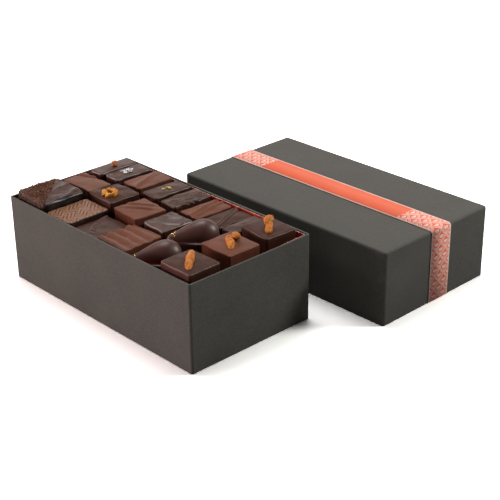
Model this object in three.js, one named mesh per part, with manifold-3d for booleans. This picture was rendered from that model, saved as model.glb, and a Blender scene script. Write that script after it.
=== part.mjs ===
// An open box of chocolate pralines: a card tray filled to the rim, with its lid lying beside it.
// Millimetres, +Z up. The origin is the middle of the tray's underside, with X along its long side.
// The lid lies on the same table, on the +Y side.
import * as THREE from "three";
import { mergeVertices } from "three/addons/utils/BufferGeometryUtils.js";
import Module from "manifold-3d";

// Card box
const TRAY = { length: 180, width: 98, height: 59, card: 1.8, corner: 1.6, edge: 0.6 };
const LID = { length: 184, width: 102, height: 50.7, card: 1.7, corner: 2.4, edge: 1.6 };
const LID_PLACE = { x: 37.4, y: 124.1, turn: 0.5 };
const LINER = { card: 0.8, play: 0.3, farBelowRim: 0.4, nearBelowRim: 3 };
const BAND = { width: 19, card: 0.3, play: 0.3, fromMiddle: 2.5, aboveTable: 0.4 };

// Filling
const GAP = 0.3; // between pieces that touch
const SHELF = 43.5; // top of the hidden layers, where the pralines that show stand
const CORNER = 1.8; // upright corners of a praline
const EDGE = 1.1; // rounding of a praline's upper edge
const FOOT = 0.3; // how far the coating spreads at the foot
const CROWN = 0.35; // how far a plain top swells in the middle
const BEAN = { length: 33, bulb: 9.2, tail: 4, rise: 12.2, lip: 2, tailLip: 0.5, lean: -30 };

// Colours of the card, the chocolates and the toppings
const COLOUR = {
  card: 0x4b4744,
  liner: 0xc2341c,
  band: 0xe4604a,
  shelf: 0x201614,
  dark: 0x3a241f,
  milk: 0x6b3c2c,
  hatched: 0x8a5f46,
  peel: 0xd07a22,
};

const wasm = await Module();
wasm.setup();

const box = new THREE.Group();

function material(colour, roughness) {
  return new THREE.MeshStandardMaterial({ color: colour, roughness, metalness: 0 });
}

// Adds a named piece to a group at a place, turned by some degrees about the upright axis.
function addPiece(group, name, geometry, finish, { x = 0, y = 0, z = 0, turn = 0 } = {}) {
  const piece = new THREE.Mesh(geometry, finish);
  piece.name = name;
  piece.position.set(x, y, z);
  piece.rotation.z = THREE.MathUtils.degToRad(turn);
  group.add(piece);
}

// A closed geometry as a solid that can be joined and cut.
function solidOf(geometry) {
  const bare = new THREE.BufferGeometry();
  bare.setAttribute("position", geometry.getAttribute("position"));
  bare.setIndex(geometry.index);
  const merged = mergeVertices(bare, 1e-4);
  return new wasm.Manifold(
    new wasm.Mesh({
      numProp: 3,
      vertProperties: merged.getAttribute("position").array,
      triVerts: new Uint32Array(merged.index.array),
    }),
  );
}

function geometryOf(solid) {
  const mesh = solid.getMesh();
  const geometry = new THREE.BufferGeometry();
  geometry.setAttribute("position", new THREE.BufferAttribute(mesh.vertProperties, 3));
  geometry.setIndex(new THREE.BufferAttribute(mesh.triVerts, 1));
  return geometry;
}

function join(...geometries) {
  return geometryOf(geometries.map(solidOf).reduce((sum, solid) => sum.add(solid)));
}

function cut(geometry, ...tools) {
  return geometryOf(tools.map(solidOf).reduce((rest, tool) => rest.subtract(tool), solidOf(geometry)));
}

// A big block whose upper face is level with z, which trims a shape flat from below.
function below(z) {
  const size = 400;
  return new THREE.BoxGeometry(size, size, size).translate(0, 0, z - size / 2);
}

function roundedRectangle(length, width, radius) {
  const x = length / 2 - radius;
  const y = width / 2 - radius;
  const outline = new THREE.Shape();
  outline.absarc(x, y, radius, 0, Math.PI / 2);
  outline.absarc(-x, y, radius, Math.PI / 2, Math.PI);
  outline.absarc(-x, -y, radius, Math.PI, 1.5 * Math.PI);
  outline.absarc(x, -y, radius, 1.5 * Math.PI, 2 * Math.PI);
  outline.closePath();
  return outline;
}

// A card shell open below: rounded upright corners, a rounded upper edge and one thickness of card all over.
function cardShell({ length, width, height, card, corner, edge }) {
  const outside = new THREE.ExtrudeGeometry(roundedRectangle(length, width, corner), {
    depth: height,
    curveSegments: 4,
    bevelSize: edge,
    bevelThickness: edge,
    bevelOffset: -edge,
    bevelSegments: 3,
  }).translate(0, 0, -edge);
  const inside = new THREE.BoxGeometry(length - 2 * card, width - 2 * card, height);
  return cut(outside, below(0), inside.translate(0, 0, height / 2 - card));
}

// The tray is a shell turned mouth up.
function buildTray() {
  const shell = cardShell(TRAY).rotateX(Math.PI).translate(0, 0, TRAY.height);
  addPiece(box, "tray", shell, material(COLOUR.card, 0.85));
}

// The liner is a sleeve of thin card just inside the tray's walls. Its top slopes down from the far wall.
function buildLiner() {
  const length = TRAY.length - 2 * (TRAY.card + LINER.play);
  const width = TRAY.width - 2 * (TRAY.card + LINER.play);
  const foot = TRAY.card + GAP;
  const height = TRAY.height - LINER.farBelowRim - foot;
  const outside = new THREE.BoxGeometry(length, width, height);
  const inside = new THREE.BoxGeometry(length - 2 * LINER.card, width - 2 * LINER.card, 2 * height);
  const sleeve = cut(outside, inside);
  const corners = sleeve.getAttribute("position");
  const slope = (LINER.nearBelowRim - LINER.farBelowRim) / width;
  for (let i = 0; i < corners.count; i++) {
    if (corners.getZ(i) > 0) corners.setZ(i, corners.getZ(i) - slope * (width / 2 - corners.getY(i)));
  }
  addPiece(box, "liner", sleeve, material(COLOUR.liner, 0.7), { z: foot + height / 2 });
  return { length: length - 2 * LINER.card, width: width - 2 * LINER.card, foot };
}

// The layers under the ones that show are one plain block, with its top at the shelf.
function buildLowerLayers(well) {
  const height = SHELF - well.foot;
  const block = new THREE.BoxGeometry(well.length - 2 * GAP, well.width - 2 * GAP, height);
  addPiece(box, "lower_layers", block, material(COLOUR.shelf, 0.9), { z: well.foot + height / 2 });
}

// The path of the band over the lid, seen from its long side: up one end, over the top and down the other.
function overLid(lift) {
  const half = LID.length / 2 + lift;
  const top = LID.height + lift;
  const radius = LID.edge + lift;
  const path = new THREE.Path();
  path.moveTo(-half, BAND.aboveTable);
  path.absarc(-half + radius, top - radius, radius, Math.PI, Math.PI / 2, true);
  path.absarc(half - radius, top - radius, radius, Math.PI / 2, 0, true);
  path.lineTo(half, BAND.aboveTable);
  return path.getPoints(4);
}

// The lid lies mouth down, and a printed paper band is glued along the middle of it.
function buildLid() {
  const lid = new THREE.Group();
  lid.position.set(LID_PLACE.x, LID_PLACE.y, 0);
  lid.rotation.z = THREE.MathUtils.degToRad(LID_PLACE.turn);
  box.add(lid);
  addPiece(lid, "lid", cardShell(LID), material(COLOUR.card, 0.85));

  const strip = new THREE.Shape([...overLid(BAND.play + BAND.card), ...overLid(BAND.play).reverse()]);
  const band = new THREE.ExtrudeGeometry(strip, { depth: BAND.width, bevelEnabled: false });
  band.rotateX(Math.PI / 2).translate(0, BAND.width / 2 + BAND.fromMiddle, 0);
  addPiece(lid, "band", join(band), material(COLOUR.band, 0.6));
}

// A smooth ridge of a given half width across u, 1 high at its centre.
function ridge(u, centre, halfWidth) {
  const t = Math.min(1, Math.abs(u - centre) / halfWidth);
  return 0.5 + 0.5 * Math.cos(Math.PI * t);
}

// Repeatable noise between -1 and 1 for a cell of a grid.
function noise(i, j) {
  const wave = Math.sin(i * 127.1 + j * 311.7) * 43758.5453;
  return 2 * (wave - Math.floor(wave)) - 1;
}

// Places grid line k of n: the outermost lie on the edge, the next one a corner's width inside it.
function gridLine(k, n, half) {
  const fromMiddle = k - n / 2;
  if (Math.abs(fromMiddle) === n / 2) return Math.sign(fromMiddle);
  return (fromMiddle / (n / 2 - 1)) * (1 - CORNER / half);
}

// A praline cut as a block and dipped: rounded corners and upper edge, and a foot where the coating ran down.
// The top is a grid of across by along cells, whose lines lean by slant so that folds can run askew.
// relief(u, v) lifts it, with u across and v along the piece, both from -1 to 1.
function dippedBlock({ length, width, height, across = 4, along = 4, slant = 0, relief = () => 0 }) {
  const bevel = EDGE * (1 - Math.SQRT1_2);
  const rings = [
    { inset: -FOOT, z: -1 },
    { inset: 0, z: height - EDGE },
    { inset: bevel, z: height - bevel },
    { inset: EDGE, z: height },
  ];
  const block = new THREE.BoxGeometry(across, along, 3, across, along, 3);
  const points = block.getAttribute("position");
  for (let i = 0; i < points.count; i++) {
    const u = gridLine(Math.round(points.getX(i) + across / 2), across, length / 2);
    const v = gridLine(Math.round(points.getY(i) + along / 2), along, width / 2);
    const level = Math.round(points.getZ(i) + 1.5);
    const ring = rings[level];
    const atCorner = Math.abs(u) === 1 && Math.abs(v) === 1;
    const round = atCorner ? CORNER * (1 - Math.SQRT1_2) : 0;
    const x = (length / 2 - ring.inset) * u - Math.sign(u) * round + slant * v * (1 - Math.abs(u));
    const y = (width / 2 - ring.inset) * v - Math.sign(v) * round;
    const swell = level === 3 ? CROWN * (1 - u * u) * (1 - v * v) : 0;
    const lift = level > 0 ? relief(u, v) + swell : 0;
    points.setXYZ(i, x, y, ring.z + lift);
  }
  return cut(block, below(0));
}

// How the top of each kind of praline is worked while its coating is soft.
const FINISHES = {
  plain: {},
  wave: { across: 4, along: 26, relief: (u, v) => 0.75 * Math.sin(4 * Math.PI * (v + 1)) },
  combed: {
    across: 14,
    along: 20,
    slant: -8,
    relief: (u, v) => ridge(u, -0.4, 0.28) * (0.75 + 0.2 * Math.cos(10 * Math.PI * v)),
  },
  folded: {
    across: 18,
    along: 6,
    slant: 5,
    relief: (u, v) => 0.5 * Math.sin(3.6 * Math.PI * u + 0.9 * v) + 0.15 * Math.sin(7 * Math.PI * u - v),
  },
  grooved: {
    across: 18,
    along: 4,
    slant: 9,
    relief: (u, v) => {
      const ridges = [-0.5, -0.12, 0.26].map((at) => ridge(u, at, 0.17));
      return (0.5 - 0.2 * v) * ridges.reduce((sum, height) => sum + height);
    },
  },
  cornerFold: {
    across: 14,
    along: 12,
    relief: (u, v) => -0.6 * ridge(v - 0.3 - 0.64 * (u + 1), 0, 0.26),
  },
  ridged: { across: 14, along: 4, slant: -6.5, relief: (u) => 1.0 * ridge(u, -0.02, 0.3) },
  twiceRidged: {
    across: 16,
    along: 4,
    slant: -5,
    relief: (u) => 0.8 * ridge(u, -0.3, 0.26) + 0.7 * ridge(u, 0.28, 0.26),
  },
  creased: {
    across: 14,
    along: 4,
    slant: -6.5,
    relief: (u) => 0.3 * THREE.MathUtils.clamp(6 * u, -1, 1),
  },
  crinkled: {
    across: 16,
    along: 8,
    slant: 3,
    relief: (u, v) => 0.3 * Math.sin(5 * Math.PI * u + 2 * v) + 0.14 * Math.sin(9 * u - 5 * v),
  },
  notched: { across: 10, along: 10, relief: (u, v) => -0.5 * ridge(u, 0, 0.24) * ridge(v, 0, 0.4) },
  crumbed: {
    across: 14,
    along: 14,
    relief: (u, v) => {
      const crumbs = 0.4 * noise(Math.round(9 * u), Math.round(9 * v));
      const wrinkles = 0.3 * Math.sin(9 * (u - v));
      return u + v < 0 ? crumbs : wrinkles;
    },
  },
};

// A rounded lump of a given size, pressed into what lies under it.
function lump({ size, at, turn = 0, lean = 0, facets = 9 }) {
  const [length, width, height] = size;
  const shape = new THREE.SphereGeometry(1, facets, Math.round(facets / 2) + 1);
  shape.rotateX(Math.PI / 2).scale(length / 2, width / 2, height / 2);
  shape.rotateY(THREE.MathUtils.degToRad(lean)).rotateZ(THREE.MathUtils.degToRad(turn));
  return shape.translate(...at);
}

// Bits that stick to the top of a praline, fused to it.
const BITS = {
  nut: [{ size: [4, 3.4, 4.4], at: [0.6, 0.4, 0.6], turn: 20 }],
  pistachio: [
    { size: [3.4, 1.6, 2], at: [-0.6, -2.6, 0.4], turn: 70, facets: 6 },
    { size: [2, 1.5, 2], at: [0.4, 0.3, 0.4], turn: 10, facets: 6 },
    { size: [2.6, 1.8, 2.4], at: [0.2, 2.8, 0.4], turn: 40, facets: 6 },
  ],
  salt: [0, 1, 2, 3, 4, 5].map((k) => ({
    size: [2.8, 1.5, 1.6],
    at: [2.3 * Math.cos(k * 1.2), 3.1 * Math.sin(k * 1.2), 0.3],
    turn: 75 * k,
    facets: 6,
  })),
};

// The pralines that show, in three rows along the tray: middle and size on the plan, how far the top stands
// above the rim (or below it), the turn in degrees, the chocolate and the finish.
const PRALINES = [
  { name: "peel_square_near", at: [72.6, -33.1], size: [26.4, 24.2], top: 3.6, dip: "dark" },
  { name: "wave_square", at: [13, -30.7], size: [27, 29.4], top: -1.3, dip: "milk", finish: "wave" },
  { name: "combed_square", at: [-15.9, -31], size: [24.2, 29.2], top: -4.5, dip: "dark", finish: "combed" },
  { name: "hatched_square", at: [-42.2, -29.3], size: [25.2, 32.2], top: -1.8, dip: "hatched" },
  { name: "crumb_slab", at: [-71.1, -29.4], size: [31.2, 32.6], top: 4, dip: "dark", finish: "crumbed" },

  { name: "peel_square_middle", at: [71.3, -0.1], size: [26, 24], top: 3.6, turn: -1, dip: "milk" },
  {
    name: "folded_square", at: [14, -0.7], size: [21, 24], top: 0, turn: -2,
    dip: "dark", finish: "folded",
  },
  {
    name: "grooved_square", at: [-12, -2.1], size: [25, 23.8], top: 0.9, turn: -5,
    dip: "milk", finish: "grooved",
  },
  { name: "ginger_square", at: [-42.4, 1.1], size: [24.2, 24.2], top: 1.8, turn: -1.5, dip: "dark" },
  { name: "grooved_bar", at: [-71.8, 0.8], size: [29, 18.4], top: 0.9, dip: "milk", finish: "cornerFold" },

  { name: "peel_square_far", at: [71.4, 31.5], size: [25.4, 23.6], top: 4, turn: -5, dip: "dark" },
  { name: "notched_bar", at: [50.1, 31.3], size: [12, 28.2], top: -0.9, dip: "dark", finish: "notched" },
  {
    name: "ridged_bar_dark", at: [33.8, 30.9], size: [17.2, 28.8], top: -1.3,
    dip: "dark", finish: "ridged",
  },
  {
    name: "ridged_bar_milk", at: [15.4, 29.9], size: [16.6, 29.8], top: -0.7, turn: -2,
    dip: "milk", finish: "twiceRidged",
  },
  {
    name: "crinkled_bar", at: [-5.3, 30.4], size: [16.6, 30], top: 0.5, turn: -1.5,
    dip: "dark", finish: "crinkled",
  },
  {
    name: "pistachio_bar", at: [-24.6, 30.6], size: [15.4, 30], top: 0.9, turn: -1,
    dip: "dark", bits: "pistachio",
  },
  { name: "creased_bar", at: [-45.1, 31.6], size: [17.6, 28.2], top: 1.3, dip: "milk", finish: "creased" },
  { name: "salt_bar", at: [-65.6, 31], size: [14.2, 29.2], top: 1.5, turn: -1, dip: "dark", bits: "salt" },
  { name: "nut_bar", at: [-80.2, 30], size: [12.4, 31.4], top: 1.8, dip: "dark", bits: "nut" },
];

function buildPralines() {
  for (const { name, at, size, top, turn = 0, dip, finish = "plain", bits } of PRALINES) {
    const [length, width] = size;
    const height = TRAY.height + top - SHELF - GAP;
    let geometry = dippedBlock({ length, width, height, ...FINISHES[finish] });
    if (bits) {
      const lumps = BITS[bits].map((bit) => lump(bit).translate(0, 0, height));
      geometry = join(geometry, ...lumps);
    }
    const place = { x: at[0], y: at[1], z: SHELF + GAP, turn };
    addPiece(box, name, geometry, material(COLOUR[dip], 0.45), place);
  }
}

// A moulded cocoa bean: a swelling back, broad at the head and slim at the tail, on a lip that runs round it.
function bean(height) {
  const half = BEAN.length / 2;
  const headward = (t) => THREE.MathUtils.smoothstep(t, -0.95, 0.5);
  const breadth = (t) => THREE.MathUtils.lerp(BEAN.tail, BEAN.bulb, headward(t));
  const blunt = (t) => Math.cbrt(1 - Math.abs(t) ** 3);
  const back = new THREE.SphereGeometry(1, 22, 16);
  const points = back.getAttribute("position");
  for (let i = 0; i < points.count; i++) {
    const [x, t, z] = [points.getX(i), points.getY(i), points.getZ(i)];
    const spread = (breadth(t) * blunt(t)) / (Math.hypot(x, z) || 1);
    const rise = z > 0 ? BEAN.rise / BEAN.bulb : 1 / BEAN.bulb;
    points.setXYZ(i, x * spread, t * half, z * spread * rise);
  }

  const outline = new THREE.Shape();
  const steps = 28;
  for (let k = 0; k < steps; k++) {
    const angle = (2 * Math.PI * k) / steps;
    const t = Math.sin(angle);
    const lip = THREE.MathUtils.lerp(BEAN.tailLip, BEAN.lip, headward(t));
    const x = Math.sign(Math.cos(angle)) * (breadth(t) + lip) * blunt(t);
    const y = t * (half + lip / 2);
    if (k === 0) outline.moveTo(x, y);
    else outline.lineTo(x, y);
  }
  const base = new THREE.ExtrudeGeometry(outline, { depth: height, bevelEnabled: false });
  return join(base, back.translate(0, 0, height));
}

// Two beans stand askew between the squares and the bars, the one in the middle row higher.
function buildBeans() {
  const places = [
    { name: "bean_near", x: 37.4, y: -30.6, lipTop: -8.2 },
    { name: "bean_middle", x: 38.6, y: -1.4, lipTop: -3.4 },
  ];
  for (const { name, x, y, lipTop } of places) {
    const height = TRAY.height + lipTop - SHELF - GAP;
    addPiece(box, name, bean(height), material(COLOUR.dark, 0.35), { x, y, z: SHELF + GAP, turn: BEAN.lean });
  }
}

// Candied peel and ginger lie on the tops of four squares.
const TOPPINGS = [
  {
    name: "peel_near",
    on: "peel_square_near",
    lumps: [
      { size: [13, 5.4, 7], at: [-5.5, 0, 0], lean: -4 },
      { size: [15, 5, 6], at: [4.5, -0.3, 0], lean: 6 },
    ],
  },
  {
    name: "peel_middle",
    on: "peel_square_middle",
    lumps: [
      { size: [18, 5.4, 6], at: [2, 0.8, 0], lean: 6 },
      { size: [7.5, 5.4, 5], at: [-5, 3.4, 2.2], turn: 30 },
    ],
  },
  {
    name: "peel_far",
    on: "peel_square_far",
    lumps: [
      { size: [17, 5.2, 6], at: [1.5, 0.4, 0], lean: 5 },
      { size: [9, 6.6, 5], at: [-5, 0.2, 2.8], turn: -20 },
    ],
  },
  {
    name: "ginger_cluster",
    on: "ginger_square",
    lumps: [0, 1, 2, 3, 4, 5].map((k) => ({
      size: [5.4 - 0.3 * (k % 3), 3.8, 4 + 0.6 * (k % 2)],
      at: [3 + 3.9 * Math.cos((k * Math.PI) / 3), -3 + 3.7 * Math.sin((k * Math.PI) / 3), 0.4],
      turn: 60 * k + 75,
      facets: 8,
    })),
  },
];

function buildToppings() {
  for (const { name, on, lumps } of TOPPINGS) {
    const square = PRALINES.find((praline) => praline.name === on);
    const [x, y] = square.at;
    const shape = cut(join(...lumps.map(lump)), below(0));
    const z = TRAY.height + square.top + CROWN + GAP / 2;
    addPiece(box, name, shape, material(COLOUR.peel, 0.5), { x, y, z, turn: -45 });
  }
}

buildTray();
buildLowerLayers(buildLiner());
buildPralines();
buildBeans();
buildToppings();
buildLid();

export default box;
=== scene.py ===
import math
import random

import bmesh
import bpy
from mathutils import Matrix, Vector, noise
from mathutils.bvhtree import BVHTree


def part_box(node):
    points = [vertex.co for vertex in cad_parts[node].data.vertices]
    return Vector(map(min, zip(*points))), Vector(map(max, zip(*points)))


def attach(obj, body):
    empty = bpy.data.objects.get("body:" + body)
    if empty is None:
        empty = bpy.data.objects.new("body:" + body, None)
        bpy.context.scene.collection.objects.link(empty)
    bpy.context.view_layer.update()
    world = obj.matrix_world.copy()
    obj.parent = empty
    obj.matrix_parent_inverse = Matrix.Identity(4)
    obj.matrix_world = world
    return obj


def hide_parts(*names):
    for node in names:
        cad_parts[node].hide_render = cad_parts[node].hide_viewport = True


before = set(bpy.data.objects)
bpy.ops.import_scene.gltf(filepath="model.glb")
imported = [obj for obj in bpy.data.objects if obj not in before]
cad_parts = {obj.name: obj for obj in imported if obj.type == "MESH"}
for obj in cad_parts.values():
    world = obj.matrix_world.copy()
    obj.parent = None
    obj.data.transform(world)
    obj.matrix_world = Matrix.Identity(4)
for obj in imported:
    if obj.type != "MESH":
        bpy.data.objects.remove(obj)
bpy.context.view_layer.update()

# ---- The tray
# A rigid tray of grey board, wrapped inside and out in charcoal uncoated paper that turns over the rim.
# The upright corners are soft where the paper is drawn round the board, and the rim is nearly square.
MM = 0.001
TRAY_CARD = 1.8 * MM
TRAY_CORNER = 1.6 * MM
TRAY_CREASE = 0.6 * MM
RIM_SOFTNESS = 0.4 * MM
SMALLEST_WALL = 120 * MM * MM
NEAR = 1e-6


def feed(tree, socket, value):
    """Sets an input to a value, or links another node's output to it."""
    if isinstance(value, bpy.types.NodeSocket):
        tree.links.new(value, socket)
    else:
        socket.default_value = value


def put(tree, kind, settings=None, **inputs):
    """Adds a node to a tree. An input is a value, or another node's output to link from."""
    made = tree.nodes.new("ShaderNode" + kind)
    for name, value in (settings or {}).items():
        setattr(made, name, value)
    for name, value in inputs.items():
        feed(tree, made.inputs[name.replace("_", " ")], value)
    return made


def blend_colours(tree, share, first, second):
    """A colour that goes from first to second as share goes from 0 to 1."""
    made = tree.nodes.new("ShaderNodeMix")
    made.data_type = "RGBA"
    for index, value in ((0, share), (6, first), (7, second)):
        feed(tree, made.inputs[index], value)
    return made.outputs[2]


def reckon(tree, operation, first, second=0.5):
    """One sum on values that vary over the surface."""
    made = tree.nodes.new("ShaderNodeMath")
    made.operation = operation
    feed(tree, made.inputs[0], first)
    feed(tree, made.inputs[1], second)
    return made.outputs[0]


def times(tree, first, second):
    return reckon(tree, "MULTIPLY", first, second)


def plus(tree, first, second):
    return reckon(tree, "ADD", first, second)


def spread(tree, value, low, high, to_low=0.0, to_high=1.0):
    """Stretches a value from one range to another, and cuts off what lies outside."""
    stretched = put(
        tree, "MapRange", Value=value, From_Min=low, From_Max=high, To_Min=to_low, To_Max=to_high,
    )
    return stretched.outputs[0]


def speckle(tree, where, size, detail=2.0, roughness=0.5):
    """Soft noise whose marks are about size metres across."""
    made = put(tree, "TexNoise", Vector=where, Scale=1 / size, Detail=detail, Roughness=roughness)
    return made.outputs[0]


def new_effect(name, inputs, outputs):
    """An empty node group with its named inputs and outputs, and the ends to wire it by."""
    tree = bpy.data.node_groups.new(name, "ShaderNodeTree")
    for label, kind in inputs:
        tree.interface.new_socket(name=label, in_out="INPUT", socket_type="NodeSocket" + kind)
    for label, kind in outputs:
        tree.interface.new_socket(name=label, in_out="OUTPUT", socket_type="NodeSocket" + kind)
    return tree, tree.nodes.new("NodeGroupInput").outputs, tree.nodes.new("NodeGroupOutput").inputs


def place_effect(tree, effect, **inputs):
    """Places a node group in a material, with its own values, and gives its outputs."""
    made = tree.nodes.new("ShaderNodeGroup")
    made.node_tree = effect
    for name, value in inputs.items():
        feed(tree, made.inputs[name], value)
    return made.outputs


def new_finish(name, specular=0.5, **values):
    """A material with plain values on its shader: it, its tree, the shader's inputs and the place on it."""
    finish = bpy.data.materials.new(name)
    finish.use_nodes = True
    tree = finish.node_tree
    shader = tree.nodes["Principled BSDF"].inputs
    shader["Specular IOR Level"].default_value = specular
    for label, value in values.items():
        shader[label.replace("_", " ")].default_value = value
    return finish, tree, shader, tree.nodes.new("ShaderNodeTexCoord").outputs["Object"]


def dress(tree, shader, colour, roughness, height=None, depth=0.0, strength=1.0):
    """Feeds a colour, a roughness and a height to the shader, the height as a bump that many metres deep."""
    tree.links.new(colour, shader["Base Color"])
    tree.links.new(roughness, shader["Roughness"])
    if height is not None:
        bump = put(tree, "Bump", Height=height, Distance=depth, Strength=strength)
        tree.links.new(bump.outputs[0], shader["Normal"])


def set_down(name, bm, finish, node=None):
    """Makes a bmesh an object of the box, in place of the CAD node that it stands for."""
    mesh = bpy.data.meshes.new(name)
    bm.to_mesh(mesh)
    bm.free()
    mesh.materials.append(finish)
    piece = bpy.data.objects.new(name, mesh)
    bpy.context.scene.collection.objects.link(piece)
    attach(piece, "root")
    if node:
        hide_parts(node)
    return piece


def edges_along(bm, axis, test):
    """The edges that run along an axis and whose middle passes a test."""
    found = []
    for edge in bm.edges:
        way = edge.verts[1].co - edge.verts[0].co
        middle = (edge.verts[1].co + edge.verts[0].co) / 2
        if abs(way[axis]) > 0.99 * way.length and test(middle):
            found.append(edge)
    return found


def soften(bm, edges, radius, segments):
    bmesh.ops.bevel(
        bm, geom=edges, offset=radius, offset_type="OFFSET", affect="EDGES",
        segments=segments, profile=0.5, material=-1, clamp_overlap=True,
    )


def card_shell(length, width, height, card, corner, crease):
    """A wrapped card shell, mouth up, with its corners, its base and both edges of its rim softened."""
    bm = bmesh.new()
    bmesh.ops.create_cube(bm, size=1)
    bmesh.ops.scale(bm, vec=(length, width, height), verts=bm.verts)
    bmesh.ops.translate(bm, vec=(0, 0, height / 2), verts=bm.verts)
    mouth = max(bm.faces, key=lambda face: face.calc_center_median().z)
    bmesh.ops.inset_individual(bm, faces=[mouth], thickness=card)
    well = bmesh.ops.extrude_discrete_faces(bm, faces=[mouth])["faces"]
    bmesh.ops.translate(bm, vec=(0, 0, card - height), verts=well[0].verts)
    upright = edges_along(bm, 2, lambda middle: abs(middle.x) > (length - card) / 2)
    soften(bm, upright, corner, 5)
    base = [edge for edge in bm.edges if all(v.co.z < NEAR for v in edge.verts)]
    soften(bm, base, crease, 3)
    rim = [
        edge for edge in bm.edges
        if all(v.co.z > height - NEAR for v in edge.verts)
        and len({round(face.normal.z) for face in edge.link_faces}) == 2
    ]
    soften(bm, rim, RIM_SOFTNESS, 3)
    bmesh.ops.recalc_face_normals(bm, faces=bm.faces)
    for face in bm.faces:
        face.smooth = face.calc_area() < SMALLEST_WALL
    return bm


card_grain, given, made = new_effect(
    "card_grain",
    [("Where", "Vector"), ("Card", "Color"), ("Worn", "Color")],
    [("Colour", "Color"), ("Roughness", "Float"), ("Height", "Float")],
)
tree = card_grain
fibres = speckle(tree, given["Where"], 0.8 * MM, 3, 0.7)
clouds = speckle(tree, given["Where"], 26 * MM, 3)
flecks = spread(tree, speckle(tree, given["Where"], 0.9 * MM, 1), 0.6, 0.78)
tone = plus(tree, times(tree, clouds, 0.3), times(tree, fibres, 0.7))
shade = blend_colours(tree, spread(tree, tone, 0.36, 0.64), given["Card"], given["Worn"])
pale = blend_colours(tree, times(tree, flecks, 0.25), shade, given["Worn"])
tree.links.new(pale, made["Colour"])
tree.links.new(spread(tree, clouds, 0.3, 0.7, 0.62, 0.74), made["Roughness"])
tree.links.new(fibres, made["Height"])

CHARCOAL = (0.046, 0.0445, 0.0385, 1)
CHARCOAL_WORN = (0.085, 0.0825, 0.0725, 1)


def card_finish(name):
    finish, tree, shader, where = new_finish(name, 0.35, Sheen_Weight=0.06)
    grain = place_effect(tree, card_grain, Where=where, Card=CHARCOAL, Worn=CHARCOAL_WORN)
    dress(tree, shader, grain["Colour"], grain["Roughness"], grain["Height"], 0.06 * MM, 0.5)
    return finish


charcoal_card = card_finish("charcoal_card")
low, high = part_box("tray")
bm = card_shell(*(high - low), TRAY_CARD, TRAY_CORNER, TRAY_CREASE)
set_down("card_tray", bm, charcoal_card, "tray")

# ---- The liner
# A sleeve of thin board, printed orange-red, that stands just inside the walls. Its raw upper edge shows
# the pale core of the board, and slopes from close under the rim at the far wall to well below it at the
# near one.
LINER_CARD = 0.8 * MM
LINER_SLOPE = 2.6 * MM
LINER_CORNER = 0.35 * MM


def block_between(low, high):
    bm = bmesh.new()
    bmesh.ops.create_cube(bm, size=1)
    bmesh.ops.scale(bm, vec=high - low, verts=bm.verts)
    bmesh.ops.translate(bm, vec=(high + low) / 2, verts=bm.verts)
    return bm


def way_it_faces(tree):
    """The X, Y and Z of the way that the surface faces."""
    normal = tree.nodes.new("ShaderNodeNewGeometry").outputs["Normal"]
    return put(tree, "SeparateXYZ", Vector=normal).outputs


low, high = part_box("liner")
bm = block_between(low, high)
ends = [face for face in bm.faces if abs(face.normal.z) > 0.9]
bmesh.ops.inset_individual(bm, faces=ends, thickness=LINER_CARD)
bmesh.ops.bridge_loops(bm, edges=[edge for face in ends for edge in face.edges])
bmesh.ops.delete(bm, geom=ends, context="FACES_ONLY")
for vert in bm.verts:
    if vert.co.z > high.z - NEAR:
        vert.co.z -= LINER_SLOPE * (high.y - vert.co.y) / (high.y - low.y)
soften(bm, edges_along(bm, 2, lambda middle: True), LINER_CORNER, 2)
bmesh.ops.recalc_face_normals(bm, faces=bm.faces)

finish, tree, shader, where = new_finish("liner_print", 0.4)
cut_edge = spread(tree, way_it_faces(tree)["Z"], 0.6, 0.9)
ink = blend_colours(tree, speckle(tree, where, 6 * MM), (0.50, 0.035, 0.016, 1), (0.62, 0.055, 0.022, 1))
pulp = spread(tree, speckle(tree, where, 1.1 * MM), 0.4, 0.6)
core = blend_colours(tree, pulp, (0.20, 0.055, 0.036, 1), (0.62, 0.42, 0.35, 1))
dress(
    tree, shader, blend_colours(tree, cut_edge, ink, core), spread(tree, cut_edge, 0, 1, 0.5, 0.85),
    speckle(tree, where, 0.4 * MM, 3), 0.04 * MM, 0.5,
)
set_down("red_liner", bm, finish, "liner")

# ---- The lower layers
# The layers underneath are packed under pads of dark corrugated paper, on which the pralines that show stand.
# Only the topmost pad is seen, in the gaps between them.
FLUTE = 3.2 * MM
FLUTE_DEPTH = 0.35 * MM
CUTS_A_FLUTE = 8

low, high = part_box("lower_layers")
bm = block_between(low, high)
across = edges_along(bm, 0, lambda middle: True)
cuts = round((high.x - low.x) / FLUTE * CUTS_A_FLUTE)
bmesh.ops.subdivide_edges(bm, edges=across, cuts=cuts, use_grid_fill=True)
for vert in bm.verts:
    if vert.co.z > high.z - NEAR:
        vert.co.z -= FLUTE_DEPTH * (1 - math.cos(2 * math.pi * vert.co.x / FLUTE)) / 2
for face in bm.faces:
    face.smooth = abs(face.normal.z) > 0.3

finish, tree, shader, where = new_finish("pad_paper", 0.3)
pulp = speckle(tree, where, 0.8 * MM, 3, 0.7)
brown = blend_colours(tree, pulp, (0.010, 0.007, 0.006, 1), (0.026, 0.017, 0.013, 1))
dress(tree, shader, brown, spread(tree, pulp, 0, 1, 0.7, 0.9), pulp, 0.08 * MM, 0.6)
set_down("pads_below", bm, finish, "lower_layers")

# ---- The cut and dipped pralines
# Squares and bars of ganache, cut on a frame and coated in dark or milk chocolate. The coating rounds the
# upper edge, spreads at the foot and keeps the mark of the fork, comb or sheet that worked it while soft.
RIM = 59 * MM
SHELF = 43.8 * MM
CELL = 0.5 * MM
FOOT, FOOT_HEIGHT = 0.3, 2.5
DRIFT, DRIFT_SCALE = 0.35, 0.13
RIPPLE, RIPPLE_SCALE = 0.03, 0.45
noise.seed_set(5)

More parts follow.
